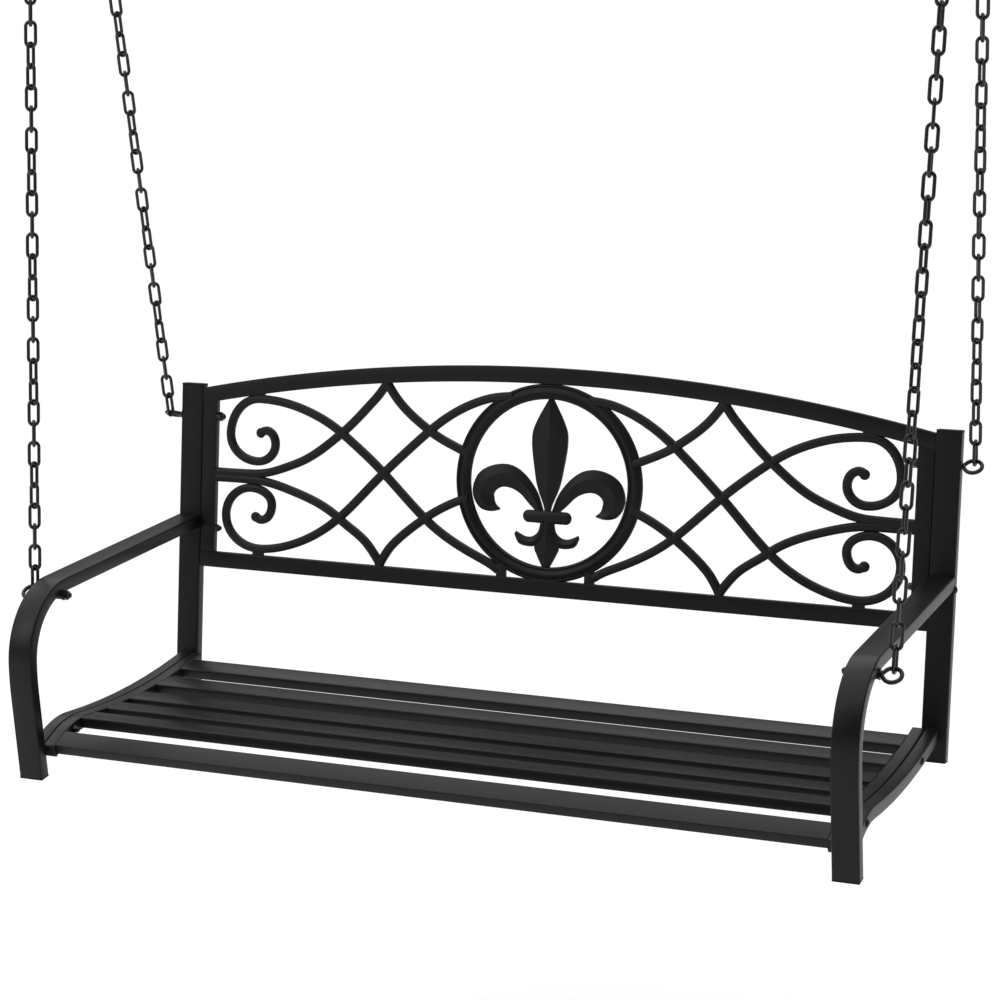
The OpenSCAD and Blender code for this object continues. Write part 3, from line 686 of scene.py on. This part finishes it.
def ridged_blade(bm, widths, edge, crest):
    """A leaf on the centre line with a sharp ridge down its middle."""
    rings = []
    for y, w in flowing(widths, 4):
        w = max(w, 0.5)
        rise = edge + (crest - edge) * min(1, w / 9)
        rings.append(
            ((-w, y, 0), (-w, y, edge - 0.8), (-w * 0.94, y, edge), (-w * 0.08, y, rise))
            + ((0, y, rise + 0.2),)
            + ((w * 0.08, y, rise), (w * 0.94, y, edge), (w, y, edge - 0.8), (w, y, 0))
        )
    loft(bm, rings)


def horn(bm, outer, inner, edge, crest, at):
    """A curling leaf between two edges, with a crest line nearer its outer edge."""
    rings = []
    for o, i in zip(flowing(outer, 4), flowing(inner, 4)):
        across_it = i - o
        wide = across_it.length
        lift = edge + (crest - edge) * min(1, wide / 14)
        low = min(edge, lift)
        spots = ((0, 0), (0, low - 0.8), (0.05, low), (at - 0.03, lift), (at, lift + 0.25))
        spots += ((at + 0.06, lift - 0.5), (0.95, low), (1, low - 0.8), (1, 0))
        rings.append([(*(o + across_it * s), z) for s, z in spots])
    loft(bm, rings)


PETAL = ((130, 3), (114, 12), (97, 21), (79, 28), (61, 29), (42, 27), (21, 23.5), (2, 20))
PETAL += ((-14, 15), (-28, 9), (-41, 5), (-60, 4))
TAIL = ((-58, 8), (-75, 9), (-88, 13), (-99, 20), (-110, 16), (-120, 11), (-131, 5))
SIDE_OUTER = ((0, -60), (7, -43), (15, -21), (24, -6), (37, 9), (52, 20), (68, 25), (86, 24))
SIDE_OUTER += ((103, 18), (116, 8), (123, -6), (125, -20), (121, -34), (112, -45), (101, -49))
SIDE_OUTER += ((89, -49), (79, -46))
SIDE_INNER = ((13, -60), (20, -44), (28, -36), (34, -30), (44, -20), (54, -14), (63, -11), (72, -10))
SIDE_INNER += ((80, -12), (86, -16), (89, -20), (90, -24), (89, -29), (88, -34), (86, -38))
SIDE_INNER += ((83, -41), (79, -44))
CURL_UPPER = ((11, -58), (12, -66), (15, -76), (24, -83), (35, -84), (45, -80), (51, -77))
CURL_LOWER = ((0, -60), (2, -74), (6, -88), (17, -97), (31, -99), (46, -95), (53, -82))


def make_lily(cast):
    bm = bmesh.new()
    ridged_blade(bm, PETAL, 5.2, 8.8)
    ridged_blade(bm, TAIL, 4.6, 8.2)
    for side in (-1, 1):
        half = bmesh.new()
        horn(half, SIDE_OUTER, SIDE_INNER, 4.8, 7.6, 0.42)
        horn(half, CURL_UPPER, CURL_LOWER, 4.6, 7.2, 0.5)
        bmesh.ops.scale(half, vec=(side, 1, 1), verts=half.verts)
        joined = bpy.data.meshes.new("half")
        half.to_mesh(joined)
        half.free()
        bm.from_mesh(joined)
        bpy.data.meshes.remove(joined)
    collar = Matrix.Translation((0, -52 * MM, 3.6 * MM)) @ Matrix.Diagonal((1, 1, 0.55, 1))
    collar = collar @ Matrix.Rotation(math.radians(90), 4, "Y")
    made = bmesh.ops.create_uvsphere(
        bm, u_segments=32, v_segments=16, radius=10 * MM, matrix=collar
    )
    for end in (-1, 1):
        tip = [v for v in made["verts"] if v.co.x * end > 1e-5]
        bmesh.ops.translate(bm, verts=tip, vec=(end * 30 * MM, 0, 0))
    ends_closed(bm)
    bmesh.ops.translate(bm, verts=bm.verts, vec=(0, RING_Y * MM, 0))
    on_back(bm, -PANEL_RECESS - CAST_T)
    keep("lily", bm, "swing", "coated_casting", cast, "lily_ornament", sharp=24)


# ---- plastic plugs ----
def make_plugs(plastic):
    nose = (SLAT_FRONT, seat_height(SLAT_FRONT))
    spots = {
        "post_caps": (PLUG_IN, POST_T, TUBE_W, POST_FOOT, 85, POST_LEN),
        "post_plugs": (PLUG_IN, POST_T, TUBE_W, POST_FOOT, 85, -PLUG_T),
        "foot_plugs": (PLUG_IN, ARM_T, TUBE_W, (0, 0), 90 + LEG_LEAN, 0),
        "side_bar_plugs": (BAR_IN, RAIL_T, RAIL_T, nose, ROLL_SLOPE, -PLUG_T),
    }
    for node, (x, thick, width, start, heading, shift) in spots.items():
        bm = bmesh.new()
        for side in (-1, 1):
            half = bmesh.new()
            block(half, (shift, -thick, 0), (shift + PLUG_T, 0, width), 1.1)
            at = Vector((*start, 0)) * MM
            place = Matrix.Translation(at) @ Matrix.Rotation(math.radians(heading), 4, "Z")
            bmesh.ops.transform(half, matrix=place, verts=half.verts)
            side_view(half, x, side)
            joined = bpy.data.meshes.new("half")
            half.to_mesh(joined)
            half.free()
            bm.from_mesh(joined)
            bpy.data.meshes.remove(joined)
        keep(f"{node}_moulded", bm, "swing", "black_plastic", plastic, node)


# ---- eye bolts ----
def wire(bm, points, thickness, closed):
    """Adds a round wire along a run of points."""
    cu = bpy.data.curves.new("wire", "CURVE")
    cu.dimensions = "3D"
    cu.bevel_depth = thickness / 2 * MM
    cu.bevel_resolution = 6
    cu.use_fill_caps = True
    spline = cu.splines.new("POLY")
    spline.points.add(len(points) - 1)
    spline.use_cyclic_u = closed
    for knot, (x, y, z) in zip(spline.points, points):
        knot.co = (x * MM, y * MM, z * MM, 1)
    whole = bpy.data.objects.new("wire", cu)
    bpy.context.scene.collection.objects.link(whole)
    bpy.context.view_layer.update()
    seen = whole.evaluated_get(bpy.context.evaluated_depsgraph_get())
    mesh = bpy.data.meshes.new_from_object(seen)
    bm.from_mesh(mesh)
    bpy.data.objects.remove(whole)
    bpy.data.curves.remove(cu)
    bpy.data.meshes.remove(mesh)


def make_eyes(coat):
    """Each eye is bent wire that narrows to its shank."""
    front = (74.362, 264.436, 589.6)
    up_post, into_post = 471, 7
    s, c = math.sin(POST_LEAN), math.cos(POST_LEAN)
    rear = (FRAME_DEPTH + up_post * s + into_post * c, up_post * c - into_post * s, 564.1)
    middle, mean, tip = HALF_WIDTH + 17, 12.5, HALF_WIDTH + 2.4
    steps = 48
    spread = math.pi - math.acos(mean / (middle - tip))
    turns = [spread * (1 - 2 * k / steps) for k in range(steps + 1)]
    loop = [(tip, 0)] + [(middle + mean * math.cos(a), mean * math.sin(a)) for a in turns]
    bm = bmesh.new()
    for side, spot, tilt in ((-1, front, 34), (1, front, 34), (-1, rear, -22), (1, rear, 34)):
        y, z, inner = spot
        c, s = math.cos(math.radians(tilt)), math.sin(math.radians(tilt))
        wire(bm, [(side * x, y + r * c, z + r * s) for x, r in loop], 6, True)
        wire(bm, [(side * x, y, z) for x in (inner, HALF_WIDTH + 1.9)], 8, False)
    bmesh.ops.recalc_face_normals(bm, faces=bm.faces)
    bmesh.ops.transform(bm, matrix=HANG, verts=bm.verts)
    keep("bent_eyes", bm, "swing", "coated_fasteners", coat, "eye_bolts")


def finish_cad_nodes(finishes):
    slots = {s["node"]: s["material_slot"] for s in frame["record"]["subparts"]}
    for name, node in frame["nodes"].items():
        material = finishes[slots[name]]
        for spot in node.material_slots:
            spot.material = material


def make_floor():
    floor = Finish("pale_floor")
    floor.set(Base_Color=(0.93, 0.93, 0.93, 1), Roughness=0.9)
    floor.surface.inputs["Specular IOR Level"].default_value = 0.0
    bm = bmesh.new()
    bmesh.ops.create_grid(bm, x_segments=1, y_segments=1, size=2000)
    bmesh.ops.translate(bm, verts=bm.verts, vec=HANG @ Vector((0, 0, -0.6)))
    mesh = bpy.data.meshes.new("floor")
    bm.to_mesh(mesh)
    bm.free()
    mesh.materials.append(floor.material)
    ground = bpy.data.objects.new("floor", mesh)
    bpy.context.scene.collection.objects.link(ground)


place_camera()
light_studio()
make_floor()
finishes = {
    "coated_steel": powder_coat("satin_coat", 0.0035, 0.0065, 0.2, 0.36, 0.3, 700),
    "coated_casting": powder_coat("cast_coat", 0.0035, 0.008, 0.22, 0.42, 0.6, 420),
    "coated_chain": powder_coat("chain_coat", 0.0035, 0.0065, 0.4, 0.26, 0.2, 900),
    "coated_fasteners": powder_coat("bolt_coat", 0.0035, 0.0065, 0.35, 0.28, 0.2, 1100),
    "black_plastic": moulded_plastic("cap_plastic"),
}
finish_cad_nodes(finishes)
steel, cast = finishes["coated_steel"], finishes["coated_casting"]
make_arms(steel)
make_posts(steel)
make_seat_bars(steel)
make_slats(steel)
make_panel_frame(steel)
make_ring(cast)
make_scrollwork(cast)
make_lily(cast)
make_plugs(finishes["black_plastic"])
make_eyes(finishes["coated_fasteners"])
